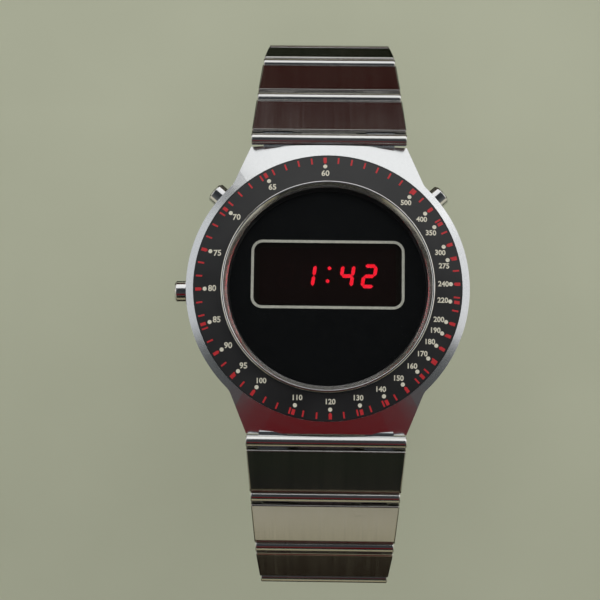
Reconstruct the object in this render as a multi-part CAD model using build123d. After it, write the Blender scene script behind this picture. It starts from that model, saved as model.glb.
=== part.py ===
"""A round steel LED wristwatch on a tapering plate-link bracelet with a fold-over clasp.

The watch is modelled closed, as it sits on a wrist. The origin is the centre of the case back's
outer face, +Z runs out through the dial, +Y towards the 12 o'clock end and +X towards 3 o'clock.
"""
from build123d import *
import math
import os

# The case, with the straight-sided shoulders that run out to the bracelet. Millimetres throughout.
case_diameter = 40.0
case_end_width = 22.4
shoulder_overhang = 0.6
shoulder_foot_share = 0.68
shoulder_fillet = 2.5
bezel_margin = 1.05
bezel_edge_height = 9.4
case_top_slope = 22.0
case_under_slope = 33.0
case_under_margin = 2.4
cavity_diameter = 29.6
seat_opening = 27.2
bore_gap = 0.05
fit_gap = 0.02

# The case back, its gasket and the notches for the opening tool.
back_diameter = 34.0
back_thickness = 1.2
back_edge_break = 0.4
spigot_height = 1.0
spigot_wall = 0.75
back_ring_diameter = 31.2
back_ring_section = 0.5
notch_count = 6
notch_width = 2.4
notch_length = 1.4
notch_depth = 0.5

# The movement chamber's contents, stacked up from the back.
running_gap = 0.05
seat_gap = 0.1
strap_length = 17.0
strap_width = 4.0
strap_thickness = 0.2
strap_corner = 1.5
cell_diameter = 11.6
cell_height = 4.2
cell_cap_diameter = 9.4
cell_cap_height = 0.5
cell_spacing = 12.3
cell_offset = 4.6
cell_pocket_gap = 0.1
holder_diameter = 27.6
holder_ring_outer = 29.2
holder_ring_inner = 27.0
holder_slot_width = 2.6
holder_slot_depth = 1.6
board_diameter = 26.8
board_thickness = 0.8
bay_width = 14.0
bay_depth = 8.2
bay_start = 2.9
bay_height = 2.2
chip_side = 5.0
chip_height = 1.2
chip_place = (-2.8, 6.9)
quartz_diameter = 2.0
quartz_length = 5.2
quartz_place = (3.6, 9.2)
trimmer_diameter = 2.6
trimmer_height = 1.3
trimmer_place = (3.6, 5.4)

# The display: light-emitting bars on a ceramic tile, a tinted filter, a black mask and a frame.
display_offset = 1.9
tile_width = 19.4
tile_depth = 8.0
tile_thickness = 0.6
digit_height = 3.46
digit_width = 1.75
digit_pitch = 3.2
colon_half_gap = 2.65
colon_rise = 0.75
colon_dot = 0.5
digit_lean = 8.0
bar_width = 0.42
bar_thickness = 0.1
bar_gap = 0.1
filter_width = 21.0
filter_depth = 9.4
filter_thickness = 0.7
mask_diameter = 29.0
mask_thickness = 0.3
frame_width = 21.7
frame_depth = 9.8
frame_corner = 1.6
frame_line = 0.42
frame_thickness = 0.1

# The crystal, its gasket, the polished ring that clamps it and the sloping insert outside that.
crystal_diameter = 28.8
crystal_thickness = 1.5
crystal_edge_break = 0.2
gasket_lip = 0.5
gasket_wall = 0.2
rim_diameter = 30.0
rim_opening = 28.1
rim_height = 0.85
rim_land = 0.35
rim_break = 0.12
rim_skirt = 0.35
rim_skirt_depth = 1.3
insert_thickness = 0.6
insert_rise = 0.6

# The three push buttons, named by their places round the dial, with their angles from 3 o'clock.
pusher_right_angle = 41.0
pusher_left_angle = 139.0
pusher_side_angle = 181.0
pusher_height = 5.9
pusher_diameter = 3.0
pusher_stand_out = 1.8
pusher_travel = 0.8
pusher_sunk = 1.4
pusher_break = 0.25
stem_diameter = 1.0
stem_gap = 0.08
stem_head_diameter = 1.8
stem_head_thickness = 0.25
tube_wall = 0.4
tube_floor = 0.4
tube_land = 1.5
tube_collar = 0.15
spring_wire = 0.26
spring_turns = 3
spring_coil_diameter = 2.0
contact_thickness = 0.1
contact_width = 1.6
contact_height = 1.5

# The bracelet: its pitch from pivot to pivot, its taper, and how steeply each plate hangs.
pitch = 9.0
pivot_height = 8.1
pivot_stand_off = 1.0
bracelet_end_width = 15.4
plate_tilts = [33.0, 38.0, 58.0, 101.0, 140.0, 165.0]
skin_height = 0.95
belly_depth = 0.9
far_bevel_length = 0.75
far_bevel_height = 0.4
near_bevel_length = 0.12
near_bevel_height = 0.12
side_break = 0.15
seam_width = 0.3
seam_depth = 0.2
rod_diameter = 1.7
rod_end_break = 0.2
hinge_gap = 0.06
pin_gap = 0.04
hinge_wall = 0.25
hook_root_height = 0.25
hook_tip_drop = 0.16
tongue_wrap = 0.35
hook_side_gap = 0.1
hook_inner_share = 0.24
hook_outer_share = 0.42
tongue_half_share = 0.17

# The fold-over clasp: a cover with side walls, and two blades that lie folded inside it.
cover_skin = 0.7
cover_top = 1.5
cover_wall = 0.6
cover_wall_gap = 0.2
cover_wall_depth = 1.5
cover_lead = 1.2
cover_skin_start = 1.8
cover_end_setback = 0.25
cover_round = 0.5
adjust_hole_diameter = 0.9
adjust_hole_step = 2.6
adjust_holes = 3
blade_thickness = 0.7
blade_gap = 0.1
blade_width = 12.0
knuckle_width = 4.0
knuckle_gap = 0.12
cover_pin_setback = 3.4
cover_knuckle_radius = 0.65
cover_pin_diameter = 0.6
fold_pin_place = 7.8
fold_pin_diameter = 0.9
slot_width = 3.0
slot_margin = 4.0
eye_width = 6.0
eye_diameter = 2.2
eye_notch_gap = 0.3
eye_notch_depth = 2.4
spring_bar_diameter = 1.5
spring_bar_tip_diameter = 0.8
spring_bar_gap = 0.05
overrun = 1.0

# Places that follow from the sizes above.
case_radius = case_diameter / 2
case_end_reach = case_radius + shoulder_overhang
shoulder_foot_x = case_radius * shoulder_foot_share
bezel_radius = case_radius - bezel_margin
under_radius = case_radius - case_under_margin
cavity_radius = cavity_diameter / 2
seat_radius = seat_opening / 2
rim_radius = rim_diameter / 2
crystal_radius = crystal_diameter / 2
gasket_radius = crystal_radius + gasket_wall
strap_bottom = back_thickness + running_gap
cell_bottom = strap_bottom + strap_thickness + running_gap
cell_top = cell_bottom + cell_height
board_bottom = cell_top + seat_gap
board_top = board_bottom + board_thickness
tile_top = board_top + tile_thickness
filter_bottom = tile_top + bar_thickness + seat_gap
filter_top = filter_bottom + filter_thickness
mask_top = filter_top + mask_thickness
frame_top = mask_top + frame_thickness
crystal_bottom = frame_top + seat_gap
crystal_top = crystal_bottom + crystal_thickness
rim_top = crystal_top + rim_height
rim_foot = crystal_top - rim_skirt_depth
insert_outer_top = bezel_edge_height - bore_gap
insert_inner_top = insert_outer_top + insert_rise
window_width = frame_width - 2 * frame_line
window_depth = frame_depth - 2 * frame_line
pusher_angles = {"right": pusher_right_angle, "left": pusher_left_angle, "side": pusher_side_angle}
tube_bore = pusher_diameter / 2 + seat_gap
tube_radius = tube_bore + tube_wall
tube_end = case_radius + tube_collar
tube_start = cavity_radius + tube_land
stem_radius = stem_diameter / 2
stem_bore = stem_radius + stem_gap
cap_start = case_radius - pusher_sunk
cap_end = case_radius + pusher_stand_out
stem_end = cavity_radius - seat_gap - stem_head_thickness
rod_radius = rod_diameter / 2
hook_bore = rod_radius + hinge_gap
hook_radius = hook_bore + hinge_wall
hook_sweep = hook_radius + hinge_gap
pivot_reach = case_end_reach + pivot_stand_off
cover_inner_half = bracelet_end_width / 2 + cover_wall_gap
cover_outer_half = cover_inner_half + cover_wall
cover_under = cover_top - cover_skin
middle_blade_top = cover_under - blade_gap
middle_blade_under = middle_blade_top - blade_thickness
cover_pin_height = middle_blade_top - cover_knuckle_radius
end_blade_top = cover_pin_height - cover_knuckle_radius - knuckle_gap
end_blade_under = end_blade_top - blade_thickness
fold_knuckle_radius = (middle_blade_top - end_blade_under) / 2
fold_pin_height = (middle_blade_top + end_blade_under) / 2


def joint_width(joint):
    """The bracelet's width at a pivot, counted from 0 at the case to 6 at the clasp."""
    return case_end_width + (bracelet_end_width - case_end_width) * joint / len(plate_tilts)


def pivot_places():
    """The (y, z) of the pivots on the 12 o'clock side, from the case down to the clasp."""
    y, z = pivot_reach, pivot_height
    places = [(y, z)]
    for tilt in plate_tilts:
        y += pitch * math.cos(math.radians(tilt))
        z -= pitch * math.sin(math.radians(tilt))
        places.append((y, z))
    return places


pivots = pivot_places()
clasp_length = 2 * pivots[-1][0]
cover_pin_place = clasp_length - cover_pin_setback


def on_bracelet(joint, tilt, side):
    """The place of a piece whose own X runs across, Y along and Z out of the bracelet."""
    y, z = pivots[joint]
    place = Location((0, y, z), (-tilt, 0, 0))
    return place if side == "u" else Location((0, 0, 0), (0, 0, 180)) * place


def turned(points):
    """A solid turned about Z from an outline of (radius, height) points."""
    return revolve(Plane.XZ * make_face(Polyline(*points, close=True)), Axis.Z)


def ring(outer_radius, inner_radius, low, high):
    """A plain ring about Z between two heights."""
    return turned([(inner_radius, low), (outer_radius, low), (outer_radius, high), (inner_radius, high)])


def disc(radius, low, high, centre=(0, 0)):
    """A plain disc between two heights."""
    upright = Cylinder(radius, high - low, align=(Align.CENTER, Align.CENTER, Align.MIN))
    return Pos(centre[0], centre[1], low) * upright


def block(x_low, x_high, y_low, y_high, z_low, z_high):
    """A box between its low and high corners."""
    size = (x_high - x_low, y_high - y_low, z_high - z_low)
    return Pos(x_low, y_low, z_low) * Box(*size, align=(Align.MIN, Align.MIN, Align.MIN))


def rod(radius, low, high, y=0, z=0):
    """A round rod along X between two ends."""
    upright = Cylinder(radius, high - low, align=(Align.CENTER, Align.CENTER, Align.MIN))
    return Pos(low, y, z) * Rot(0, 90, 0) * upright


def tablet(width, depth, corner, low, high, offset=0):
    """A rounded rectangle between two heights, centred on Y = offset."""
    return Pos(0, offset, low) * extrude(RectangleRounded(width, depth, corner), high - low)


def both_sides(inner, outer):
    """The two spans across the bracelet that mirror each other."""
    return [(-outer, -inner), (inner, outer)]


# The pivots between the plates

def hooks(joint):
    """Two hooks that hold the next rod from below and stay under the edges of both plates."""
    width = joint_width(joint)
    made = []
    for near, far in both_sides(hook_inner_share * width, hook_outer_share * width):
        curl = rod(hook_radius, near, far)
        curl += block(near, far, -pivot_stand_off - hinge_wall, 0, -belly_depth, hook_root_height)
        curl -= rod(hook_bore, near - overrun, far + overrun)
        curl -= block(near - overrun, far + overrun, -hook_radius - overrun, 0, hook_root_height,
                      hook_radius + overrun)
        curl -= block(near - overrun, far + overrun, 0, hook_radius + overrun, -hook_tip_drop,
                      hook_radius + overrun)
        made.append(curl)
    return made


def hook_room(joint):
    """What the neighbour's hooks sweep as this plate swings."""
    width = joint_width(joint)
    spans = both_sides(hook_inner_share * width - hook_side_gap, hook_outer_share * width + hook_side_gap)
    return [rod(hook_sweep, near, far) for near, far in spans]


def tongue_room(joint):
    """What the next plate's tongue sweeps below the pivot."""
    half = tongue_half_share * joint_width(joint) + hook_side_gap
    return rod(hook_sweep, -half, half) - block(-half, half, -hook_sweep, hook_sweep, 0, hook_sweep)


def tongue(joint):
    """The plate's own grip on its rod, which lies between the two hooks of its neighbour."""
    half = tongue_half_share * joint_width(joint)
    grip = rod(hook_radius, -half, half)
    grip += block(-half, half, 0, pivot_stand_off + hinge_wall, -belly_depth, hook_root_height)
    grip -= block(-half, half, -hook_radius, -tongue_wrap, -hook_radius, hook_radius)
    grip -= block(-half, half, -hook_radius, 0, -rod_radius, hook_radius)
    grip -= rod(rod_radius + fit_gap, -half - overrun, half + overrun)
    grip -= block(-half, half, -hook_radius, hook_radius, hook_root_height, hook_radius)
    return grip


def hinge_rod(joint):
    """The polished rod that shows between two plates."""
    half = joint_width(joint) / 2
    bar = rod(rod_radius, -half, half)
    return chamfer(bar.edges().filter_by(GeomType.CIRCLE), rod_end_break)


def plate(joint):
    """One bracelet plate: bevelled at both ends, tapered in width, with the fold's seam beneath."""
    start, stop = pivot_stand_off, pitch - pivot_stand_off
    outline = Polyline(
        (start, -belly_depth), (stop, -belly_depth),
        (stop, skin_height - far_bevel_height), (stop - far_bevel_length, skin_height),
        (start + near_bevel_length, skin_height), (start, skin_height - near_bevel_height),
        close=True)
    body = extrude(Plane.YZ * make_face(outline), case_end_width / 2, both=True)
    near_half, far_half = joint_width(joint) / 2, joint_width(joint + 1) / 2
    planform = make_face(Polyline((-near_half, 0), (near_half, 0), (far_half, pitch), (-far_half, pitch),
                                  close=True))
    body &= Pos(0, 0, -belly_depth) * extrude(planform, belly_depth + skin_height)
    sides = [e for e in body.edges() if e.center().Z > skin_height - side_break
             and abs(e.center().X) > far_half - side_break]
    body = chamfer(sides, side_break)
    middle = pitch / 2
    body -= block(-case_end_width, case_end_width, middle - seam_width / 2, middle + seam_width / 2,
                  -belly_depth - overrun, -belly_depth + seam_depth)
    for room in hook_room(joint):
        body -= room
    return body


def hooked_plate(joint):
    """A plate with the tongue for its own rod and the hooks for the next one."""
    body = plate(joint) - Pos(0, pitch, 0) * tongue_room(joint + 1) + tongue(joint)
    for hook in hooks(joint + 1):
        body += Pos(0, pitch, 0) * hook
    return body


def forked_plate(joint):
    """The last plate of the 12 o'clock side, with bored ears for a spring bar and a notch between."""
    body = plate(joint) + tongue(joint)
    width = joint_width(joint + 1)
    for near, far in both_sides(hook_inner_share * width, hook_outer_share * width):
        ear = rod(hook_radius, near, far, y=pitch)
        ear += block(near, far, pitch - pivot_stand_off - hinge_wall, pitch, -belly_depth, hook_radius)
        ear -= rod(adjust_hole_diameter / 2, near - overrun, far + overrun, y=pitch)
        body += ear
    half = eye_width / 2 + eye_notch_gap
    body -= block(-half, half, pitch - eye_notch_depth, pitch + overrun, -belly_depth - overrun,
                  skin_height + overrun)
    return body


# The watch head

def case_outline():
    """The round case with its straight-sided shoulders, seen from above."""
    foot_y = math.sqrt(case_radius ** 2 - shoulder_foot_x ** 2)
    half = case_end_width / 2
    corners = [(shoulder_foot_x, foot_y), (half, case_end_reach), (-half, case_end_reach),
               (-shoulder_foot_x, foot_y), (-shoulder_foot_x, -foot_y), (-half, -case_end_reach),
               (half, -case_end_reach), (shoulder_foot_x, -foot_y)]
    flat = Circle(case_radius) + make_face(Polyline(*corners, close=True))
    waists = [v for v in flat.vertices() if abs(abs(v.X) - shoulder_foot_x) < bore_gap]
    return fillet(waists, shoulder_fillet)


def case_envelope():
    """The turned form that slopes the case's top and belly."""
    reach = math.hypot(case_end_width, 2 * case_end_reach) / 2 + overrun
    under_rise = (reach - under_radius) * math.tan(math.radians(case_under_slope))
    top_fall = (reach - bezel_radius) * math.tan(math.radians(case_top_slope))
    return turned([
        (0, back_thickness), (under_radius, back_thickness), (reach, back_thickness + under_rise),
        (reach, bezel_edge_height - top_fall), (bezel_radius, bezel_edge_height), (0, bezel_edge_height)])


def case_bore():
    """The chamber from the back, the seat for the mask and crystal, and the insert's sloping seat."""
    insert_outer_seat = insert_outer_top - insert_thickness - running_gap
    insert_inner_seat = insert_outer_seat + insert_rise
    rim_seat = rim_foot - bore_gap
    low, high = back_thickness - overrun, bezel_edge_height + overrun
    gasket_seat = gasket_radius + bore_gap
    return turned([
        (0, low), (cavity_radius, low), (cavity_radius, filter_bottom), (seat_radius, filter_bottom),
        (seat_radius, filter_top), (gasket_seat, filter_top), (gasket_seat, rim_seat),
        (rim_radius + bore_gap, rim_seat), (rim_radius + bore_gap, insert_inner_seat),
        (bezel_radius, insert_outer_seat), (bezel_radius, high), (0, high)])


def round_case(angle):
    """Takes a piece made along X from the case's axis to its place at the height of the buttons."""
    return Location((0, 0, pusher_height), (0, 0, angle))


def case_middle():
    """The case body, with its chamber, seats, button bores and the hooks for the first rods."""
    body = extrude(case_outline(), bezel_edge_height) & case_envelope()
    body -= case_bore()
    groove = back_ring_section / 2 + running_gap
    body -= ring(back_ring_diameter / 2 + groove, back_ring_diameter / 2 - groove,
                 back_thickness - overrun, back_thickness + back_ring_section)
    for angle in pusher_angles.values():
        body -= round_case(angle) * rod(tube_radius + fit_gap, tube_start, tube_end + overrun)
        body -= round_case(angle) * rod(stem_bore, seat_radius, tube_end)
    for side in "ul":
        body -= on_bracelet(0, 0, side) * tongue_room(0)
        for hook in hooks(0):
            body += on_bracelet(0, 0, side) * hook
    return body


def case_back():
    """The notched back, with the spigot that fits the chamber."""
    radius, spigot = back_diameter / 2, cavity_radius - bore_gap
    body = turned([
        (0, 0), (radius - back_edge_break, 0), (radius, back_edge_break), (radius, back_thickness),
        (spigot, back_thickness), (spigot, back_thickness + spigot_height),
        (spigot - spigot_wall, back_thickness + spigot_height), (spigot - spigot_wall, back_thickness),
        (0, back_thickness)])
    for index in range(notch_count):
        notch = block(radius - notch_length, radius + overrun, -notch_width / 2, notch_width / 2,
                      -overrun, notch_depth)
        body -= Rot(0, 0, index * 360 / notch_count) * notch
    return body


def back_gasket():
    """The square-cut sealing ring between the case and its back."""
    centre, half = back_ring_diameter / 2, back_ring_section / 2
    return ring(centre + half, centre - half, back_thickness, back_thickness + back_ring_section
                - running_gap)


cell_places = [(side * cell_spacing / 2, -cell_offset) for side in (-1, 1)]


def battery_cell(centre):
    """One button cell, with its smaller negative cap uppermost."""
    shoulder = cell_top - cell_cap_height
    return disc(cell_diameter / 2, cell_bottom, shoulder, centre) + disc(
        cell_cap_diameter / 2, shoulder, cell_top, centre)


def module_holder():
    """The moulded ring that carries the board over two cell pockets and a bay for the components."""
    ring_foot = back_thickness + spigot_height + seat_gap
    body = disc(holder_diameter / 2, cell_bottom, cell_top)
    body += ring(holder_ring_outer / 2, holder_ring_inner / 2, ring_foot, filter_bottom - running_gap)
    for centre in cell_places:
        body -= disc(cell_diameter / 2 + cell_pocket_gap, cell_bottom - overrun, cell_top + overrun, centre)
    body -= block(-bay_width / 2, bay_width / 2, bay_start, bay_start + bay_depth, cell_top - bay_height,
                  cell_top + overrun)
    slot_low = pusher_height - holder_slot_width / 2
    for angle in pusher_angles.values():
        outer = holder_ring_outer / 2 + overrun
        slot = block(outer - overrun - holder_slot_depth, outer, -holder_slot_width / 2,
                     holder_slot_width / 2, slot_low, filter_bottom)
        body -= Rot(0, 0, angle) * slot
    return body


def component_spot(place, height):
    """The place of a part that hangs under the board."""
    return Pos(place[0], place[1], board_bottom - height)


def driver_chip():
    """The timing and driver circuit under the board."""
    return component_spot(chip_place, chip_height) * Box(
        chip_side, chip_side, chip_height, align=(Align.CENTER, Align.CENTER, Align.MIN))


def quartz_can():
    """The timing crystal's can, lying along X under the board."""
    half = quartz_length / 2
    can = rod(quartz_diameter / 2, -half, half)
    return component_spot(quartz_place, quartz_diameter / 2) * can


def trimmer():
    """The screw-slotted trimmer that sets the rate."""
    body = Cylinder(trimmer_diameter / 2, trimmer_height, align=(Align.CENTER, Align.CENTER, Align.MIN))
    slot = Box(trimmer_diameter, bar_width, bar_width, align=(Align.CENTER, Align.CENTER, Align.CENTER))
    return component_spot(trimmer_place, trimmer_height) * (body - slot)


def light_bar(start, stop, centre_x):
    """One light-emitting bar between two points of a cell, leaning with the digits."""
    (x0, y0), (x1, y1) = start, stop
    half, lean = bar_width / 2, math.tan(math.radians(digit_lean))
    if y0 == y1:
        corners = [(x0, y0), (x0 + half, y0 + half), (x1 - half, y0 + half), (x1, y0), (x1 - half, y0 - half),
                   (x0 + half, y0 - half)]
    else:
        corners = [(x0, y0), (x0 + half, y0 + half), (x0 + half, y1 - half), (x0, y1), (x0 - half, y1 - half),
                   (x0 - half, y0 + half)]
    leaning = [(centre_x + x + y * lean, display_offset + y) for x, y in corners]
    face = make_face(Polyline(*leaning, close=True))
    return Pos(0, 0, tile_top) * extrude(face, bar_thickness)


def led_segments():
    """Four seven-bar digits and the colon's two dots."""
    half_w, half_h = (digit_width - bar_width) / 2, (digit_height - bar_width) / 2
    gap = bar_gap / 2
    levels = (-half_h, 0, half_h)
    bars = []
    for centre_x in (-colon_half_gap - digit_pitch, -colon_half_gap, colon_half_gap,
                     colon_half_gap + digit_pitch):
        for y in levels:
            bars.append(light_bar((-half_w + gap, y), (half_w - gap, y), centre_x))
        for x in (-half_w, half_w):
            for low, high in zip(levels, levels[1:]):
                bars.append(light_bar((x, low + gap), (x, high - gap), centre_x))
    for rise in (-colon_rise, colon_rise):
        lean = rise * math.tan(math.radians(digit_lean))
        bars.append(Pos(lean, display_offset + rise, tile_top) * Box(
            colon_dot, colon_dot, bar_thickness, align=(Align.CENTER, Align.CENTER, Align.MIN)))
    return Compound(children=bars)


def dial_mask():
    """The black disc with the display's window in it."""
    corner = frame_corner - frame_line
    return disc(mask_diameter / 2, filter_top, mask_top) - tablet(
        window_width, window_depth, corner, filter_top - overrun, mask_top + overrun, display_offset)


def display_frame():
    """The fine raised line round the window."""
    return tablet(frame_width, frame_depth, frame_corner, mask_top, frame_top, display_offset) - tablet(
        window_width, window_depth, frame_corner - frame_line, mask_top - overrun, frame_top + overrun,
        display_offset)


def crystal():
    """The flat mineral crystal, with its upper edge broken."""
    body = disc(crystal_radius, crystal_bottom, crystal_top)
    return chamfer(body.edges().group_by(Axis.Z)[-1], crystal_edge_break)


def crystal_gasket():
    """The L-section gasket under and round the crystal."""
    return turned([
        (crystal_radius - gasket_lip, mask_top), (gasket_radius, mask_top),
        (gasket_radius, crystal_top - running_gap), (crystal_radius + fit_gap, crystal_top - running_gap),
        (crystal_radius + fit_gap, crystal_bottom), (crystal_radius - gasket_lip, crystal_bottom)])


def crystal_rim():
    """The polished ring that clamps the crystal and slopes in to it."""
    skirt = rim_radius - rim_skirt
    return turned([
        (skirt, rim_foot), (rim_radius, rim_foot), (rim_radius, rim_top - rim_break),
        (rim_radius - rim_break, rim_top), (rim_radius - rim_land, rim_top),
        (rim_opening / 2, crystal_top + rim_break), (rim_opening / 2, crystal_top), (skirt, crystal_top)])


def bezel_insert():
    """The black cone-shaped ring that carries the speed scale."""
    outer, inner = bezel_radius - bore_gap, rim_radius + bore_gap * 2
    return turned([
        (outer, insert_outer_top - insert_thickness), (outer, insert_outer_top),
        (inner, insert_inner_top), (inner, insert_inner_top - insert_thickness)])


# The push buttons

def pusher():
    """A round button on a stem that ends in a head inside the chamber, made along X."""
    radius, head = pusher_diameter / 2, stem_head_diameter / 2
    outline = Polyline(
        (stem_end, 0), (stem_end, head), (stem_end + stem_head_thickness, head),
        (stem_end + stem_head_thickness, stem_radius), (cap_start, stem_radius), (cap_start, radius),
        (cap_end - pusher_break, radius), (cap_end, radius - pusher_break), (cap_end, 0), close=True)
    return revolve(make_face(outline), Axis.X)


def pusher_spring():
    """The square-wire return spring between the tube's floor and the button, made along X."""
    low = tube_start + tube_floor + spring_wire / 2 + running_gap
    high = cap_start - spring_wire / 2 - running_gap
    length = high - low
    path = Helix(length / spring_turns, length, spring_coil_diameter / 2)
    section = Plane(path @ 0, z_dir=path % 0) * Rectangle(spring_wire, spring_wire)
    return Pos(low, 0, 0) * Rot(0, 90, 0) * sweep(section, path=path, is_frenet=True)


def pusher_tube():
    """The collared tube pressed into the case, made along X."""
    body = rod(tube_radius, tube_start, tube_end)
    body -= rod(tube_bore, tube_start + tube_floor, tube_end + overrun)
    return body - rod(stem_bore, tube_start - overrun, tube_end)


def switch_contact():
    """The spring-metal pad on the board's edge that a stem closes on, made along X."""
    start = board_diameter / 2
    low = board_top - pusher_height - contact_height
    return block(start, start + contact_thickness, -contact_width / 2, contact_width / 2, low,
                 low + contact_height)


# The clasp, made with Y from the 6 o'clock pivot to the 12 o'clock one and Z out of the wrist

def pin_bore(diameter, place, height):
    """The cutter for a hinge pin's bore, right across the blades."""
    half = blade_width / 2 + overrun
    return rod(diameter / 2 + pin_gap, -half, half, place, height)


def clasp_cover():
    """The outer cover: a bent sheet with side walls, adjustment holes and two hinge knuckles."""
    end = cover_pin_place - cover_end_setback
    body = block(-cover_outer_half, cover_outer_half, -cover_lead, end, -cover_wall_depth, cover_top)
    edges = [e for e in body.edges().filter_by(Axis.Y) if e.center().Z > 0]
    body = fillet(edges, cover_round)
    body -= block(-cover_inner_half, cover_inner_half, -cover_lead - overrun, end + overrun,
                  -cover_wall_depth - overrun, cover_under)
    body -= block(-cover_inner_half, cover_inner_half, -cover_lead - overrun, cover_skin_start,
                  -cover_wall_depth, cover_top + overrun)
    for near, far in both_sides(knuckle_width / 2 + knuckle_gap, blade_width / 2):
        body += rod(cover_knuckle_radius, near, far, cover_pin_place, cover_pin_height)
        body += block(near, far, cover_pin_place - cover_knuckle_radius, cover_pin_place,
                      cover_pin_height, cover_under)
    body -= pin_bore(cover_pin_diameter, cover_pin_place, cover_pin_height)
    for index in range(adjust_holes):
        body -= rod(adjust_hole_diameter / 2, -cover_outer_half - overrun, cover_outer_half + overrun,
                    index * adjust_hole_step)
    return body


def cover_spring_bar():
    """The spring bar in the last plate's hooks, with its tips drawn in clear of the cover's walls."""
    half = bracelet_end_width / 2
    tip = half + cover_wall_gap / 2
    return rod(rod_radius, -half, half) + rod(spring_bar_tip_diameter / 2, -tip, tip)


def middle_blade():
    """The blade that hangs from the cover at one end and carries the end blade at the other."""
    half, knuckle = blade_width / 2, knuckle_width / 2
    near = fold_pin_place + fold_knuckle_radius + knuckle_gap
    far = cover_pin_place - cover_knuckle_radius - knuckle_gap
    body = block(-half, half, near, far, middle_blade_under, middle_blade_top)
    body += block(-knuckle, knuckle, fold_pin_place, cover_pin_place, middle_blade_under, middle_blade_top)
    body += rod(fold_knuckle_radius, -knuckle, knuckle, fold_pin_place, fold_pin_height)
    body += rod(cover_knuckle_radius, -knuckle, knuckle, cover_pin_place, cover_pin_height)
    body -= pin_bore(fold_pin_diameter, fold_pin_place, fold_pin_height)
    body -= pin_bore(cover_pin_diameter, cover_pin_place, cover_pin_height)
    slot = (far - near - 2 * slot_margin)
    opening = extrude(SlotOverall(slot, slot_width, rotation=90), blade_thickness + overrun, both=True)
    return body - Pos(0, (near + far) / 2, middle_blade_under) * opening


def end_blade():
    """The innermost blade, which cranks up past the cover's hinge to the eye for the spring bar."""
    half, knuckle, eye = blade_width / 2, knuckle_width / 2, eye_diameter / 2
    near = fold_pin_place + fold_knuckle_radius + knuckle_gap
    crank = clasp_length - cover_pin_setback / 2
    body = block(-half, half, near, crank, end_blade_under, end_blade_top)
    for low, high in both_sides(knuckle + knuckle_gap, half):
        body += rod(fold_knuckle_radius, low, high, fold_pin_place, fold_pin_height)
        body += block(low, high, fold_pin_place, near, end_blade_under, end_blade_top)
    arm = Polyline((crank - blade_thickness, end_blade_under), (crank, end_blade_under),
                   (clasp_length, -eye), (clasp_length, 0), (clasp_length - eye, 0),
                   (crank, end_blade_top), (crank - blade_thickness, end_blade_top), close=True)
    body += extrude(Plane.YZ * make_face(arm), eye_width / 2, both=True)
    body += rod(eye, -eye_width / 2, eye_width / 2, clasp_length)
    body -= rod(spring_bar_diameter / 2 + spring_bar_gap, -half, half, clasp_length)
    body -= pin_bore(fold_pin_diameter, fold_pin_place, fold_pin_height)
    slot = (crank - near - 2 * slot_margin)
    opening = extrude(SlotOverall(slot, slot_width, rotation=90), blade_thickness + overrun, both=True)
    return body - Pos(0, (near + crank) / 2, end_blade_under) * opening


def end_spring_bar():
    """The spring bar in the end blade's eye, with its tips in the last plate's ears."""
    half = eye_width / 2
    tip = hook_outer_share * joint_width(len(plate_tilts))
    return rod(spring_bar_diameter / 2, -half, half, clasp_length) + rod(
        spring_bar_tip_diameter / 2, -tip, tip, clasp_length)


def hinge_pin(diameter, place, height):
    """A plain pin across the blades."""
    half = blade_width / 2
    return rod(diameter / 2, -half, half, place, height)


# Everything in its place, one file for each piece

def copies_round_case(piece):
    """The same piece at each of the three buttons."""
    return Compound(children=[round_case(angle) * piece for angle in pusher_angles.values()])


def watch_head():
    """The pieces of the watch head by name."""
    pieces = {
        "case_middle": case_middle(),
        "case_back": case_back(),
        "back_gasket": back_gasket(),
        "battery_strap": tablet(strap_length, strap_width, strap_corner, strap_bottom,
                                strap_bottom + strap_thickness, -cell_offset),
        "battery_cells": Compound(children=[battery_cell(centre) for centre in cell_places]),
        "module_holder": module_holder(),
        "circuit_board": disc(board_diameter / 2, board_bottom, board_top),
        "driver_chip": driver_chip(),
        "quartz_can": quartz_can(),
        "rate_trimmer": trimmer(),
        "led_tile": Pos(0, display_offset, board_top) * Box(
            tile_width, tile_depth, tile_thickness, align=(Align.CENTER, Align.CENTER, Align.MIN)),
        "led_segments": led_segments(),
        "filter_window": Pos(0, display_offset, filter_bottom) * Box(
            filter_width, filter_depth, filter_thickness, align=(Align.CENTER, Align.CENTER, Align.MIN)),
        "dial_mask": dial_mask(),
        "display_frame": display_frame(),
        "crystal": crystal(),
        "crystal_gasket": crystal_gasket(),
        "crystal_rim": crystal_rim(),
        "bezel_insert": bezel_insert(),
        "pusher_tubes": copies_round_case(pusher_tube()),
        "switch_contacts": copies_round_case(switch_contact()),
    }
    for name, angle in pusher_angles.items():
        pieces["pusher_" + name] = round_case(angle) * pusher()
        pieces["spring_" + name] = round_case(angle) * pusher_spring()
    return pieces


def bracelet():
    """The plates and rods of both halves, numbered from the case."""
    pieces = {}
    for side in "ul":
        for joint, tilt in enumerate(plate_tilts):
            last = joint == len(plate_tilts) - 1
            made = forked_plate(joint) if last and side == "u" else hooked_plate(joint)
            place = on_bracelet(joint, tilt, side)
            pieces[f"link_{side}{joint + 1}"] = place * made
            pieces[f"rod_{side}{joint + 1}"] = place * hinge_rod(joint)
    return pieces


def clasp():
    """The clasp's pieces, closed across the wrist."""
    place = on_bracelet(len(plate_tilts), 180, "l")
    return {
        "clasp_cover": place * clasp_cover(),
        "cover_spring_bar": place * cover_spring_bar(),
        "middle_blade": place * middle_blade(),
        "cover_pin": place * hinge_pin(cover_pin_diameter, cover_pin_place, cover_pin_height),
        "end_blade": place * end_blade(),
        "fold_pin": place * hinge_pin(fold_pin_diameter, fold_pin_place, fold_pin_height),
        "end_spring_bar": place * end_spring_bar(),
    }


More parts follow.
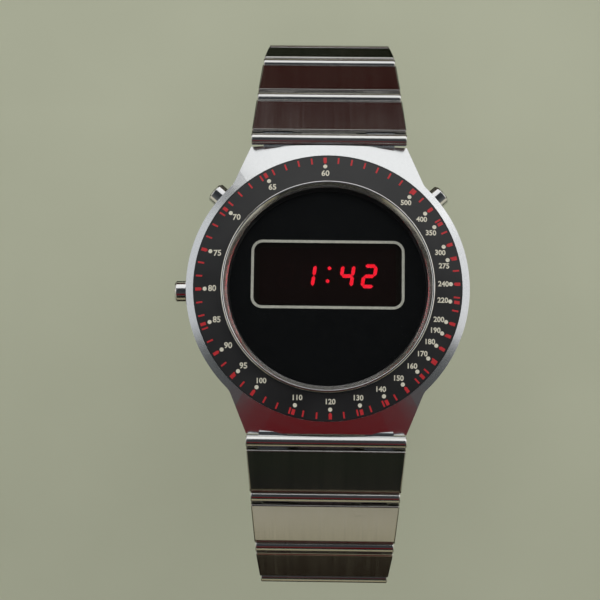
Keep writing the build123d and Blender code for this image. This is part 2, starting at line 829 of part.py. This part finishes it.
os.makedirs("parts", exist_ok=True)
for node, shape in {**watch_head(), **bracelet(), **clasp()}.items():
    export_step(shape, f"parts/{node}.step")
print("pivots", [(round(y, 3), round(z, 3)) for y, z in pivots])
print("clasp", round(clasp_length, 3), "cover pin", round(cover_pin_place, 3), round(cover_pin_height, 3),
      "fold pin", round(fold_pin_height, 3), "fold radius", round(fold_knuckle_radius, 3))
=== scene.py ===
import bmesh
import bpy
import math
from mathutils import Matrix, Vector


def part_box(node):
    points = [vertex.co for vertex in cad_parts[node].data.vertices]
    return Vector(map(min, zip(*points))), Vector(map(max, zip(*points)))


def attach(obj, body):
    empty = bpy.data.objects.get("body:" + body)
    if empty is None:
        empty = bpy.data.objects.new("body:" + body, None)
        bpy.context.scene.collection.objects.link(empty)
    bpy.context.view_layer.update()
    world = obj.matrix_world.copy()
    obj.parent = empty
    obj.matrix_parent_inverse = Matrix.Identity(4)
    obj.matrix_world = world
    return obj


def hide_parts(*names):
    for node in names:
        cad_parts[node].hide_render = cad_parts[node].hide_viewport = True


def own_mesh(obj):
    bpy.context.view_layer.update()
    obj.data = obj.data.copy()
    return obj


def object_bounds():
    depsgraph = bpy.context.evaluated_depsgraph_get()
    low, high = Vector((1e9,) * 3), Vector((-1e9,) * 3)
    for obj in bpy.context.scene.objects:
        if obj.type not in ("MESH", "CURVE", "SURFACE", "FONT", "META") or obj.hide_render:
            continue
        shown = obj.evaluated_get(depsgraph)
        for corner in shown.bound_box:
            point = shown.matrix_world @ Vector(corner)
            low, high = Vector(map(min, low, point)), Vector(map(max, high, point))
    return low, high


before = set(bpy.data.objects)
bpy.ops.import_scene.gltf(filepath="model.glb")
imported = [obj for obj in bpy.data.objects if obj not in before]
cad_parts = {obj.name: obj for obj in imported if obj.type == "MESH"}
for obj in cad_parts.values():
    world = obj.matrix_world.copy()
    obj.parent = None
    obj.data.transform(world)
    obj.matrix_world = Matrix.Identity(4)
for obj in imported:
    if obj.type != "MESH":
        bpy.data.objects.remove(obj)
cad_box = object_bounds()

# The case: one block of stainless steel, turned on top and below and milled at its two ends.
# Its sloping top is glass-beaded to a fine frost, and its side is polished. The bracelet's first
# rods lie in hooks milled from the same block.
mm = 0.001


class Shade:
    """A socket of a finish, so that a pattern is written as a sum."""

    def __init__(self, tree, socket=None):
        self.tree, self.socket = tree, socket

    def node(self, kind, settings=None, values=None, out=0):
        """One output of a new node, with its settings first and then its sockets' values or links."""
        made = self.tree.nodes.new(kind)
        for name, value in (settings or {}).items():
            if name == "stops":
                ramp = made.color_ramp
                while len(ramp.elements) < len(value):
                    ramp.elements.new(0.5)
                for element, (place, colour) in zip(ramp.elements, value):
                    element.position, element.color = place, (*colour, 1)
            else:
                setattr(made, name, value)
        for name, value in (values or {}).items():
            self.feed(made.inputs[name], value)
        return Shade(self.tree, made.outputs[out])

    def feed(self, socket, value):
        """Links a pattern to a socket, or sets its number or colour."""
        if isinstance(value, Shade):
            self.tree.links.new(value.socket, socket)
        elif socket.type == "RGBA":
            socket.default_value = (*value, 1)
        else:
            socket.default_value = value

    def sum(self, operation, *values):
        """One step of arithmetic on patterns and numbers."""
        return self.node("ShaderNodeMath", {"operation": operation}, dict(enumerate(values)))

    def __add__(self, other):
        return self.sum("ADD", self, other)

    def __mul__(self, other):
        return self.sum("MULTIPLY", self, other)

    def __sub__(self, other):
        return self.sum("SUBTRACT", self, other)

    def __rsub__(self, other):
        return self.sum("SUBTRACT", other, self)

    __radd__, __rmul__ = __add__, __mul__

    def over(self, low, high):
        """How far the value has come from low to high, from 0 to 1."""
        return self.node("ShaderNodeMapRange", {"clamp": True}, {0: self, 1: low, 2: high})

    def blend(self, under, top):
        """The colour under, with top over it by this value."""
        return self.node("ShaderNodeMix", {"data_type": "RGBA"}, {0: self, 6: under, 7: top}, 2)

    def place(self, stretch=(1, 1, 1), turn=(0, 0, 0)):
        """The piece's own coordinates, stretched, in metres."""
        own = self.node("ShaderNodeTexCoord", out=3)
        return self.node("ShaderNodeMapping", {}, {"Vector": own, "Scale": stretch, "Rotation": turn})

    def cloud(self, stretch, detail=2.0, rough=0.5, turn=(0, 0, 0)):
        """Noise from 0 to 1, with its number of cells per metre along each axis."""
        return self.node("ShaderNodeTexNoise", {}, {"Vector": self.place(stretch, turn), "Scale": 1.0,
                                                    "Detail": detail, "Roughness": rough})

    def relief(self, height, depth):
        """A normal raised by height, from 0 to 1, over a depth in metres."""
        return self.node("ShaderNodeBump", {}, {"Height": height, "Distance": depth, "Strength": 1.0})


def new_finish(name, fixed):
    """A material with its fixed numbers set on the shader, and a start for its patterns."""
    finish = bpy.data.materials.new(name)
    finish.use_nodes = True
    shader = finish.node_tree.nodes["Principled BSDF"]
    start = Shade(finish.node_tree)
    for socket, value in fixed.items():
        start.feed(shader.inputs[socket], value)
    return finish, start, shader.inputs


def darker(colour, share=0.8):
    """The colour of a finish in its grain's hollows."""
    return tuple(part * share for part in colour)


def steel(name, colour, stretch, roughness, depth, scratches=0.05, spread=1.0):
    """Bare steel with a grain that is drawn out where stretch is small, and light scratches."""
    broad_share, smear_cells = 0.22, (90, 90, 90)
    scratch_cells, scratch_turn = (260, 2600, 900), (0.3, 0.5, 0.9)
    finish, start, sockets = new_finish(name, {"Metallic": 1.0})
    fine = start.cloud(stretch, 3.0, 0.6)
    broad = start.cloud(tuple(cells * broad_share for cells in stretch))
    smear = start.cloud(smear_cells)
    scratch = start.cloud(scratch_cells, 1.0, 0.5, scratch_turn).over(0.70, 0.74)
    grain = fine * 0.6 + broad * 0.4
    start.feed(sockets["Base Color"], grain.over(0.3, 0.7).blend(darker(colour), colour))
    grain_wear, smear_wear = 0.16, 0.10
    even_wear = (grain_wear + smear_wear) / 2
    wear = (grain.over(0.25, 0.75) * grain_wear + smear * smear_wear - even_wear) * spread
    start.feed(sockets["Roughness"], wear + scratch * scratches + roughness)
    start.feed(sockets["Normal"], start.relief(grain, depth))
    return finish


def put_in_scene(name, bm):
    """An object made from a finished mesh."""
    mesh = bpy.data.meshes.new(name)
    bm.to_mesh(mesh)
    bm.free()
    piece = bpy.data.objects.new(name, mesh)
    bpy.context.scene.collection.objects.link(piece)
    return piece


def finished(name, bm, finish, body, nodes=(), smooth=9):
    """Puts a finished mesh in the scene, on its body and in the place of its plain solids.

    Edges that turn by more than smooth, in degrees, stay sharp.
    """
    piece = put_in_scene(name, bm)
    piece.data.shade_smooth()
    piece.data.set_sharp_from_angle(angle=math.radians(smooth))
    piece.data.materials.append(finish)
    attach(piece, body)
    if nodes:
        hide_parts(*nodes)
    return piece


def eased(name, node, width, finish, body):
    """A milled piece, made from its plain solid, with its sharp edges eased."""
    same_point, flat_angle, sharp_angle, shading_angle = 0.002, 1.5, 38, 12
    bm = bmesh.new()
    bm.from_mesh(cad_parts[node].data)
    bmesh.ops.remove_doubles(bm, verts=bm.verts[:], dist=same_point * mm)
    bmesh.ops.dissolve_limit(bm, angle_limit=math.radians(flat_angle), verts=bm.verts[:],
                             edges=bm.edges[:])
    piece = finished(name, bm, finish, body, [node], shading_angle)
    ease = piece.modifiers.new("eased edges", "BEVEL")
    ease.width = width * mm
    ease.segments = 2
    ease.limit_method = "ANGLE"
    ease.angle_limit = math.radians(sharp_angle)
    ease.harden_normals = True
    return piece


def dressed(node, finish):
    """Gives a piece that keeps its plain solid its finish."""
    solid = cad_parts[node]
    solid.data.materials.clear()
    solid.data.materials.append(finish)


frosted, start, sockets = new_finish("frosted_steel", {"Metallic": 1.0})
beads = start.cloud((9000, 9000, 9000), 2.0, 0.6)
turning = start.cloud((260, 260, 4000), 2.0, 0.5)
facing_up = start.node("ShaderNodeSeparateXYZ", {}, {0: start.node("ShaderNodeNewGeometry", out=1)}, 2)
on_top = facing_up.over(0.55, 0.8)
start.feed(sockets["Base Color"], beads.over(0.3, 0.7).blend((0.66, 0.67, 0.68), (0.78, 0.79, 0.80)))
start.feed(sockets["Roughness"], on_top * 0.04 + beads * 0.06 + turning * 0.05 + 0.13)
start.feed(sockets["Normal"], start.relief(beads * on_top, 0.002 * mm))
eased("case_body", "case_middle", 0.09, frosted, "head")

# The case back: a turned steel disc with six notches for the opening tool, satin-finished in
# circles, over a square-cut sealing ring.
satin_back = steel("satin_steel_back", (0.62, 0.62, 0.63), (5200, 5200, 300), 0.34, 0.004 * mm)
eased("case_back_disc", "case_back", 0.06, satin_back, "head")


def plain_finish(name, colour, roughness, grain, depth, metallic=0.0, coat=0.0):
    """A moulded, plated or painted surface with a fine grain."""
    uneven = 0.14
    finish, start, sockets = new_finish(name, {"Metallic": metallic, "Coat Weight": coat})
    specks = start.cloud((grain, grain, grain), 3.0, 0.6)
    start.feed(sockets["Base Color"], specks.over(0.35, 0.65).blend(darker(colour), colour))
    start.feed(sockets["Roughness"], specks * uneven + (roughness - uneven / 2))
    start.feed(sockets["Normal"], start.relief(specks, depth))
    return finish


seal = plain_finish("seal_rubber", (0.022, 0.022, 0.023), 0.62, 4000, 0.005 * mm)
dressed("back_gasket", seal)

# The movement: two button cells under a spring strap, a moulded holder, and a lacquered board with
# its driver chip, the timing can, the rate trimmer and three sprung contact pads on its edge.
dressed("battery_cells", plain_finish("nickel_cells", (0.70, 0.69, 0.66), 0.22, 2500, 0.002 * mm, 1.0))
dressed("quartz_can", plain_finish("nickel_can", (0.68, 0.67, 0.64), 0.18, 3000, 0.002 * mm, 1.0))
dressed("module_holder", plain_finish("moulded_holder", (0.20, 0.20, 0.21), 0.5, 3000, 0.006 * mm))
dressed("driver_chip", plain_finish("moulded_chip", (0.022, 0.022, 0.022), 0.45, 5000, 0.004 * mm))
dressed("rate_trimmer", plain_finish("moulded_trimmer", (0.72, 0.71, 0.66), 0.4, 4000, 0.003 * mm))
dressed("circuit_board", plain_finish("lacquered_board", (0.03, 0.15, 0.08), 0.3, 1200, 0.008 * mm,
                                      coat=0.6))
spring_steel = steel("spring_steel", (0.56, 0.56, 0.57), (5000, 5000, 5000), 0.28, 0.002 * mm)
for node in ("battery_strap", "switch_contacts"):
    dressed(node, spring_steel)

# The display: light-emitting bars on a dark ceramic tile. The four digits lean with the hour's
# first place left dark, and the colon's two dots glow between the pairs.
display_y = 1.9
digit_height, digit_width, bar_width = 3.46, 2.06, 0.5
cell_centres = (-5.90, -2.75, 2.75, 5.90)
shown = (" ", "1", "4", "2")
bars_of = {" ": "", "1": "CB", "2": "ABGED", "4": "FGBC"}
lean = math.tan(math.radians(8))
bar_rise = 0.09
colon_place, colon_rises, colon_radius = 0.1, (-0.75, 1.1), 0.26
tile_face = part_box("led_segments")[0].z / mm


def light_bar(bm, start_at, end_at, centre):
    """One bar with pointed ends between two places in a digit's cell."""
    along = (Vector(end_at) - Vector(start_at)).normalized() * bar_width / 2
    across = Vector((-along.y, along.x))
    a, b = Vector(start_at), Vector(end_at)
    corners = [a, a + along + across, b - along + across, b, b - along - across, a + along - across]
    ring = [bm.verts.new(((centre + p.x + p.y * lean) * mm, (display_y + p.y) * mm, tile_face * mm))
            for p in corners]
    made = bmesh.ops.extrude_face_region(bm, geom=[bm.faces.new(ring)], use_keep_orig=True)
    raised = [v for v in made["geom"] if isinstance(v, bmesh.types.BMVert)]
    bmesh.ops.translate(bm, verts=raised, vec=(0, 0, bar_rise * mm))


half_w, half_h, gap = (digit_width - bar_width) / 2, (digit_height - bar_width) / 2, 0.03
bar_ends = {
    "A": ((-half_w + gap, half_h), (half_w - gap, half_h)),
    "B": ((half_w, half_h - gap), (half_w, gap)),
    "C": ((half_w, -gap), (half_w, -half_h + gap)),
    "D": ((-half_w + gap, -half_h), (half_w - gap, -half_h)),
    "E": ((-half_w, -gap), (-half_w, -half_h + gap)),
    "F": ((-half_w, half_h - gap), (-half_w, gap)),
    "G": ((-half_w + gap, 0), (half_w - gap, 0)),
}
glowing, resting = bmesh.new(), bmesh.new()
for centre, figure in zip(cell_centres, shown):
    for letter, ends in bar_ends.items():
        light_bar(glowing if letter in bars_of[figure] else resting, *ends, centre)
for rise in colon_rises:
    centre = Vector((colon_place + rise * lean, display_y + rise, tile_face + bar_rise / 2))
    bmesh.ops.create_cone(glowing, cap_ends=True, segments=16, radius1=colon_radius * mm,
                          radius2=colon_radius * mm, depth=bar_rise * mm,
                          matrix=Matrix.Translation(centre * mm))
for bm in (glowing, resting):
    bmesh.ops.recalc_face_normals(bm, faces=bm.faces[:])

glow, start, sockets = new_finish("led_glow", {"Roughness": 0.4, "Emission Strength": 5.5})
heat = start.cloud((1500, 1500, 1500), 2.0)
start.feed(sockets["Base Color"], heat.blend((0.5, 0.0, 0.005), (0.7, 0.0, 0.01)))
start.feed(sockets["Emission Color"], heat.over(0.3, 0.7).blend((1.0, 0.008, 0.02), (1.0, 0.02, 0.05)))
unlit = plain_finish("led_unlit", (0.09, 0.012, 0.010), 0.5, 3000, 0.002 * mm)
finished("led_digits_lit", glowing, glow, "head", ["led_segments"])
finished("led_digits_unlit", resting, unlit, "head")
dressed("led_tile", plain_finish("ceramic_tile", (0.030, 0.014, 0.012), 0.55, 2600, 0.004 * mm))

# The window: a tinted filter held under a gloss black mask, with a raised line in silver lacquer
# round it.
tint, start, sockets = new_finish("tinted_filter", {"Roughness": 0.20, "Alpha": 0.55, "IOR": 1.45})
haze = start.cloud((400, 400, 400), 2.0)
start.feed(sockets["Base Color"], haze.blend((0.010, 0.004, 0.003), (0.016, 0.006, 0.004)))
dressed("filter_window", tint)
dressed("dial_mask", plain_finish("gloss_mask", (0.0045, 0.0048, 0.0050), 0.22, 900, 0.001 * mm))
line = plain_finish("silver_frame_line", (0.86, 0.86, 0.74), 0.42, 3000, 0.002 * mm)
frame_bm = bmesh.new()
low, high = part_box("display_frame")
line_width, corner_radius = 0.38, 1.6
bmesh.ops.create_grid(frame_bm, x_segments=1, y_segments=1, size=0.5)
bmesh.ops.scale(frame_bm, verts=frame_bm.verts[:], vec=(high.x - low.x, high.y - low.y, 1))
bmesh.ops.bevel(frame_bm, geom=frame_bm.verts[:], affect="VERTICES", offset=corner_radius * mm,
                segments=10, profile=0.5, material=-1)
middle = frame_bm.faces[:]
bmesh.ops.inset_region(frame_bm, faces=middle, thickness=line_width * mm, use_boundary=True,
                       use_even_offset=True)
bmesh.ops.delete(frame_bm, geom=middle, context="FACES")
raised = bmesh.ops.extrude_face_region(frame_bm, geom=frame_bm.faces[:], use_keep_orig=True)
tops = [v for v in raised["geom"] if isinstance(v, bmesh.types.BMVert)]
bmesh.ops.translate(frame_bm, verts=tops, vec=(0, 0, high.z - low.z))
bmesh.ops.translate(frame_bm, verts=frame_bm.verts[:], vec=(0, (low.y + high.y) / 2, low.z))
bmesh.ops.recalc_face_normals(frame_bm, faces=frame_bm.faces[:])
finished("window_frame_line", frame_bm, line, "head", ["display_frame"])

# The crystal: a flat disc of dark mineral glass with its upper edge broken. It lies in a rubber
# gasket over the mask, and the rim clamps it down.
crystal_low, crystal_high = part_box("crystal")
under, over = crystal_low.z / mm, crystal_high.z / mm
glass_radius, glass_bevel = 14.4, 0.2


def turned(outline, ease, steps=192):
    """A lathe-turned mesh: an outline of (radius, height) with its corners eased, spun about Z."""
    on_axis, same_point = 1e-7, 0.0002
    bm = bmesh.new()
    bm.faces.new([bm.verts.new((r * mm, 0, z * mm)) for r, z in outline])
    corners = [v for v in bm.verts if v.co.x > 0]
    bmesh.ops.bevel(bm, geom=corners, affect="VERTICES", offset=ease * mm, segments=3,
                    profile=0.5, material=-1)
    bmesh.ops.delete(bm, geom=bm.faces[:], context="FACES_ONLY")
    core = [e for e in bm.edges if all(v.co.x < on_axis for v in e.verts)]
    bmesh.ops.delete(bm, geom=core, context="EDGES")
    bmesh.ops.spin(bm, geom=bm.verts[:] + bm.edges[:], cent=(0, 0, 0), axis=(0, 0, 1),
                   angle=2 * math.pi, steps=steps, use_merge=True)
    bmesh.ops.remove_doubles(bm, verts=bm.verts[:], dist=same_point * mm)
    bmesh.ops.recalc_face_normals(bm, faces=bm.faces[:])
    return bm


glass, start, sockets = new_finish("crystal_glass", {"Roughness": 0.20, "IOR": 1.5, "Alpha": 0.12,
                                                     "Specular IOR Level": 0.8})
smudge = start.cloud((160, 160, 160), 3.0)
start.feed(sockets["Base Color"], smudge.blend((0.003, 0.0035, 0.004), (0.006, 0.007, 0.007)))
crystal = turned([(0, under), (glass_radius, under), (glass_radius, over - glass_bevel),
                  (glass_radius - glass_bevel, over), (0, over)], 0.03)
finished("crystal_disc", crystal, glass, "head", ["crystal"])
dressed("crystal_gasket", seal)

# The crystal's rim: a polished steel ring with a rounded upper edge that slopes in to the glass.
# It is pressed into the case round the glass and clamps it down.
rim_low, rim_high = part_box("crystal_rim")
foot, crest = rim_low.z / mm, rim_high.z / mm
polished = steel("polished_steel", (0.80, 0.80, 0.81), (500, 500, 500), 0.15, 0.0003 * mm, 0.03)
rim_outer = rim_high.x / mm
rim_wall, rim_round, crest_end, lip_radius = 0.35, 0.14, 0.32, 14.06
skirt = rim_outer - rim_wall
rim = turned([(skirt, foot), (rim_outer, foot), (rim_outer, crest - rim_round),
              (rim_outer - rim_round, crest), (rim_outer - crest_end, crest),
              (lip_radius, over + rim_round), (lip_radius, over), (skirt, over)], 0.06, 256)
finished("crystal_ring", rim, polished, "head", ["crystal_rim"])

# The insert: a black anodised aluminium ring, very slightly conical, with its speed scale printed
# in red and cream. Each number has a round dot outside it and a broad red mark beyond that.
insert_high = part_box("bezel_insert")[1]
print_skew, print_depth, print_lift = 1.7, 0.02, 0.002
rim_gap, insert_rise, insert_wall = 0.1, 0.6, 0.6
insert_inner, insert_outer = rim_outer + rim_gap, insert_high.x / mm
inner_height = insert_high.z / mm
outer_height = inner_height - insert_rise
anodised, start, sockets = new_finish("black_anodised", {"Coat Weight": 0.15, "Coat Roughness": 0.3})
pores = start.cloud((3500, 3500, 3500), 2.0, 0.6)
# The black is lighter in broad patches at random: painted sheen. The same patches also vary its
# roughness.
sheen_patches = start.cloud((120, 120, 120), 3.0, 0.6)
painted_sheen = sheen_patches.over(0.3, 0.7)
start.feed(sockets["Base Color"], painted_sheen.blend((0.010, 0.010, 0.011), (0.020, 0.020, 0.021)))
start.feed(sockets["Roughness"], pores * 0.10 + sheen_patches * 0.10 + 0.28)
start.feed(sockets["Normal"], start.relief(pores, 0.003 * mm))
insert = turned([(insert_outer, outer_height - insert_wall), (insert_outer, outer_height),
                 (insert_inner, inner_height), (insert_inner, inner_height - insert_wall)], 0.05, 256)
finished("speed_scale_ring", insert, anodised, "head", ["bezel_insert"])


def laid_on_ring(bm):
    """Lays flat printing onto the ring's cone."""
    slope = (inner_height - outer_height) / (insert_outer - insert_inner)
    for v in bm.verts:
        radius = math.hypot(v.co.x, v.co.y) / mm
        ground = inner_height - (radius - insert_inner) * slope
        v.co.z = (ground + print_lift + (print_depth if v.co.z > 0 else 0)) * mm
    bmesh.ops.recalc_face_normals(bm, faces=bm.faces[:])


def around(angle):
    """The turn from 12 o'clock to a mark's place, clockwise in degrees; the ring sits a little askew."""
    return Matrix.Rotation(-math.radians(angle - print_skew), 4, "Z")


def printed(name, bm, colour):
    """One colour of the printing, pad-printed on the ring."""
    laid_on_ring(bm)
    paint = plain_finish(name + "_paint", colour, 0.45, 5000, 0.002 * mm)
    finished(name, bm, paint, "head")


# Each speed's mark stands at the second in which one unit of length is covered at that speed.
minute_speed, last_inset_speed = 60, 240
speeds = [*range(60, 100, 5), *range(100, 200, 10), 200, 220, 240, 275, 300, 350, 400, 500]
mark_angles = [minute_speed * 360 / speed % 360 for speed in speeds]
marks, dots = bmesh.new(), bmesh.new()
mark_outer, dot_circle, dot_radius = 18.62, 17.28, 0.29


def mark(angle, width, inner):
    """One radial mark, closed, from its inner radius out to where all the marks end."""
    at = around(angle) @ Matrix.Translation((0, (inner + mark_outer) / 2 * mm, 0))
    size = Matrix.Diagonal((width * mm, (mark_outer - inner) * mm, print_depth * mm, 1))
    bmesh.ops.create_cube(marks, size=1.0, matrix=at @ size)


for second in range(60):
    mark(second * 6, width=0.24, inner=17.72)
for angle in mark_angles:
    mark(angle, width=0.46, inner=17.85)
    at = around(angle) @ Matrix.Translation((0, dot_circle * mm, 0))
    bmesh.ops.create_cone(dots, cap_ends=True, segments=20, radius1=dot_radius * mm,
                          radius2=dot_radius * mm, depth=print_depth * mm, matrix=at)
printed("scale_marks", marks, (0.62, 0.022, 0.030))
printed("scale_dots", dots, (0.86, 0.82, 0.68))

# The numbers stand upright inside their dots, and from 275 on to the lower left of them.
numbers = bmesh.new()
long_number_size, short_number_size, stroke_spread = 1.02, 1.15, 0.028
number_inset, fast_number_shift = 1.06, Vector((-0.5, -0.88, 0))
for speed, angle in zip(speeds, mark_angles):
    writing = bpy.data.curves.new("speed", "FONT")
    writing.body = str(speed)
    writing.size = (long_number_size if len(writing.body) > 2 else short_number_size) * mm
    writing.align_x, writing.align_y = "CENTER", "CENTER"
    writing.offset = stroke_spread * mm
    writing.resolution_u = 3
    writing.extrude = print_depth / 2 * mm
    holder = bpy.data.objects.new("speed", writing)
    bpy.context.scene.collection.objects.link(holder)
    bpy.context.view_layer.update()
    letters = bpy.data.meshes.new_from_object(holder.evaluated_get(bpy.context.evaluated_depsgraph_get()))
    spot = around(angle) @ Vector((0, dot_circle * mm, 0))
    shift = fast_number_shift if speed > last_inset_speed else spot.normalized() * -number_inset
    letters.transform(Matrix.Translation(spot + shift * mm))
    numbers.from_mesh(letters)
    bpy.data.objects.remove(holder)
    bpy.data.curves.remove(writing)
    bpy.data.meshes.remove(letters)
printed("scale_numbers", numbers, (0.84, 0.80, 0.66))

# The push buttons: polished steel caps with a broken outer edge, on stems that slide in collared
# tubes pressed into the case. Each has a return spring.
button_angles = {"right": 41.0, "left": 139.0, "side": 181.0}
button_height, button_travel = 5.9, 0.8
stem_start, collar_end, cap_start, cap_end = 14.45, 14.7, 18.6, 21.8
collar_radius, stem_radius, cap_radius, cap_bevel = 0.9, 0.5, 1.5, 0.25


def lie_round_case(bm, angle, height):
    """Lays a piece turned about Z along the radius at an angle from 3 o'clock."""
    turn = Matrix.Rotation(math.radians(angle), 4, "Z") @ Matrix.Rotation(math.radians(90), 4, "Y")
    bmesh.ops.transform(bm, matrix=Matrix.Translation((0, 0, height * mm)) @ turn, verts=bm.verts[:])
    bmesh.ops.recalc_face_normals(bm, faces=bm.faces[:])


for name, angle in button_angles.items():
    cap = turned([(0, stem_start), (collar_radius, stem_start), (collar_radius, collar_end),
                  (stem_radius, collar_end), (stem_radius, cap_start), (cap_radius, cap_start),
                  (cap_radius, cap_end - cap_bevel), (cap_radius - cap_bevel, cap_end), (0, cap_end)],
                 0.06, 96)
    lie_round_case(cap, angle, button_height)
    finished("button_cap_" + name, cap, polished, "button_" + name,
             ["pusher_" + name])
    wire = bmesh.new()
    wire.from_mesh(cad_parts["spring_" + name].data)
    coil = finished("return_spring_" + name, wire, spring_steel, "head",
                    ["spring_" + name])
    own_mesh(coil)
dressed("pusher_tubes", polished)

# The bracelet's plates: pressed steel, folded over at the back seam, narrowing towards the clasp.
# The face and its bevels are brushed along the bracelet.
brushed = steel("brushed_plate_steel", (0.64, 0.63, 0.61), (7500, 70, 70), 0.17, 0.0008 * mm,
                scratches=0.02, spread=0.5)
links = [side + str(number) for side in "ul" for number in range(1, 7)]
for link in links:
    eased("plate_" + link, "link_" + link, 0.05, brushed, "plate_" + link)

# The bracelet's rods: softly polished steel, lying full width between the plates with both ends
# eased. Each runs through the hooks of the plates on its two sides.
rod_steel = steel("rod_steel", (0.78, 0.78, 0.77), (60, 3000, 3000), 0.21, 0.0004 * mm, 0.03)
for link in links:
    low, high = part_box("rod_" + link)
    half, radius = (high.x - low.x) / 2 / mm, (high.z - low.z) / 2 / mm
    bar = turned([(0, -half), (radius, -half), (radius, half), (0, half)], 0.2, 48)
    lay = Matrix.Translation((low + high) / 2) @ Matrix.Rotation(math.radians(90), 4, "Y")
    bmesh.ops.transform(bar, matrix=lay, verts=bar.verts[:])
    bmesh.ops.recalc_face_normals(bar, faces=bar.faces[:])
    finished("polished_rod_" + link, bar, rod_steel, "plate_" + link, ["rod_" + link])

# The clasp: a pressed cover with adjustment holes in its walls, two blades that fold under it on
# ground pins, and a spring bar at each end.
eased("cover_shell", "clasp_cover", 0.06, brushed, "cover")
blade_steel = steel("blade_steel", (0.66, 0.66, 0.66), (2600, 90, 90), 0.22, 0.003 * mm)
eased("blade_middle", "middle_blade", 0.05, blade_steel, "fold_middle")
eased("blade_end", "end_blade", 0.05, blade_steel, "fold_end")
ground = steel("ground_pins", (0.64, 0.64, 0.64), (300, 4000, 4000), 0.24, 0.001 * mm)
for node in ("cover_spring_bar", "end_spring_bar", "cover_pin", "fold_pin"):
    dressed(node, ground)

# The studio: a pale round floor, soft lamps, and cards that show only in reflections, so that the
# steel has something to mirror. The floor lies low enough for the clasp to open above it.
clasp_room = 42
floor_level = cad_box[0].z / mm - clasp_room


def sheet(name, centre, size, facing=None, sides=4):
    """A flat sheet with four sides, or more for a round one, level or turned to face a point."""
    bm = bmesh.new()
    half_turn = math.pi / sides
    bmesh.ops.create_circle(bm, cap_ends=True, segments=sides, radius=0.5 / math.cos(half_turn),
                            matrix=Matrix.Rotation(half_turn, 4, "Z"))
    bmesh.ops.scale(bm, verts=bm.verts[:], vec=(size[0] * mm, size[1] * mm, 1))
    place = Matrix.Translation(Vector(centre) * mm)
    if facing:
        place @= (Vector(facing) - Vector(centre)).to_track_quat("Z", "Y").to_matrix().to_4x4()
    bmesh.ops.transform(bm, matrix=place, verts=bm.verts[:])
    piece = put_in_scene(name, bm)
    return piece


floor = sheet("floor", (0, 0, floor_level), (1000, 1000), sides=128)
pale, start, sockets = new_finish("pale_floor", {"Roughness": 0.75})
weave = start.cloud((40, 40, 40), 2.0)
start.feed(sockets["Base Color"], weave.blend((0.58, 0.60, 0.45), (0.64, 0.66, 0.50)))
floor.data.materials.append(pale)


def card(name, centre, size, facing, colour):
    """A card that is seen only in reflections, with the brightness it is given."""
    paper, start, sockets = new_finish(name + "_paper", {"Base Color": (0, 0, 0), "Roughness": 1.0,
                                                         "Specular IOR Level": 0.0,
                                                         "Emission Color": colour,
                                                         "Emission Strength": 1.0})
    piece = sheet(name, centre, size, facing)
    piece.data.materials.append(paper)
    piece.visible_camera = piece.visible_diffuse = piece.visible_shadow = False


on_floor = floor_level + 1
card("north_card", (0, 150, 8), (320, 72), (0, 30, 0), (0.034, 0.005, 0.004))
card("north_floor_card", (0, 100, on_floor), (300, 100), None, (0.008, 0.010, 0.005))
card("south_card", (0, -150, 70), (320, 66), (0, -25, 5), (0.0115, 0.0155, 0.0105))
card("near_south_card", (0, -60, 17), (90, 10), (0, 0, 17), (0.010, 0.011, 0.010))
card("south_floor_card", (0, -125, on_floor), (300, 140), None, (0.010, 0.005, 0.003))
card("south_wall_card", (0, -200, -12), (420, 100), (0, -33, -8), (0.315, 0.285, 0.175))
card("red_card", (0, -172, 190), (280, 74), (0, -20, 9), (0.125, 0.0, 0.003))


def lamp(name, place, size, power, colour=(1, 1, 1), mirrored=True):
    """A soft rectangular lamp turned to the watch, which the steel mirrors or not."""
    light = bpy.data.lights.new(name, "AREA")
    light.shape, light.size, light.size_y = "RECTANGLE", size[0] * mm, size[1] * mm
    light.energy, light.color = power, colour
    holder = bpy.data.objects.new(name, light)
    holder.visible_glossy = mirrored
    holder.location = Vector(place) * mm
    holder.rotation_euler = (-Vector(place)).to_track_quat("-Z", "Y").to_euler()
    bpy.context.scene.collection.objects.link(holder)


lamp("north_softbox", (50, 356, 315), (640, 412), 0.84, (1.0, 1.0, 0.99))
lamp("left_softbox", (-380, 130, 260), (390, 440), 0.34, (0.96, 0.98, 1.0))
lamp("right_softbox", (392, 115, 260), (370, 440), 0.40)
lamp("overhead_fill", (0, -40, 500), (400, 400), 0.62, mirrored=False)

# The room round the watch is pale at the horizon and dark overhead.
world = bpy.data.worlds.new("studio")
bpy.context.scene.world = world
world.use_nodes = True
room = Shade(world.node_tree)
background = world.node_tree.nodes["Background"]
height = room.node("ShaderNodeSeparateXYZ", {}, {0: room.node("ShaderNodeTexCoord", out=0)}, 2)
walls = room.node("ShaderNodeValToRGB", {"stops": [(0.0, (0.40, 0.40, 0.36)), (0.5, (0.84, 0.80, 0.64)),
                                                   (0.62, (0.84, 0.80, 0.64)), (0.70, (0.16, 0.17, 0.17)),
                                                   (1.0, (0.04, 0.045, 0.05))]}, {0: height.over(-1, 1)})
room.feed(background.inputs["Color"], walls)
background.inputs["Strength"].default_value = 0.8

# The camera stands over the 6 o'clock side and looks down at the dial, turned a little about its
# line of sight.
place, target = Vector((-1.3, -29.7, 197.2)) * mm, Vector((-3.86, -1.95, 9.5)) * mm
sensor, focal_pixels, picture, roll, near_limit = 36, 1352.8, 600, 0.75, 10
forward = (target - place).normalized()
right = forward.cross(Vector((0, 1, 0))).normalized()
upward = right.cross(forward)
camera_data = bpy.data.cameras.new("camera")
camera_data.sensor_width = sensor
camera_data.lens = sensor * focal_pixels / picture
camera_data.clip_start = near_limit * mm
camera = bpy.data.objects.new("camera", camera_data)
bpy.context.scene.collection.objects.link(camera)
look = Matrix((right, upward, -forward)).transposed().to_4x4()
camera.matrix_world = Matrix.Translation(place) @ look @ Matrix.Rotation(math.radians(roll), 4, "Z")
bpy.context.scene.camera = camera
bpy.context.scene.view_settings.view_transform = "Standard"

bpy.context.view_layer.update()
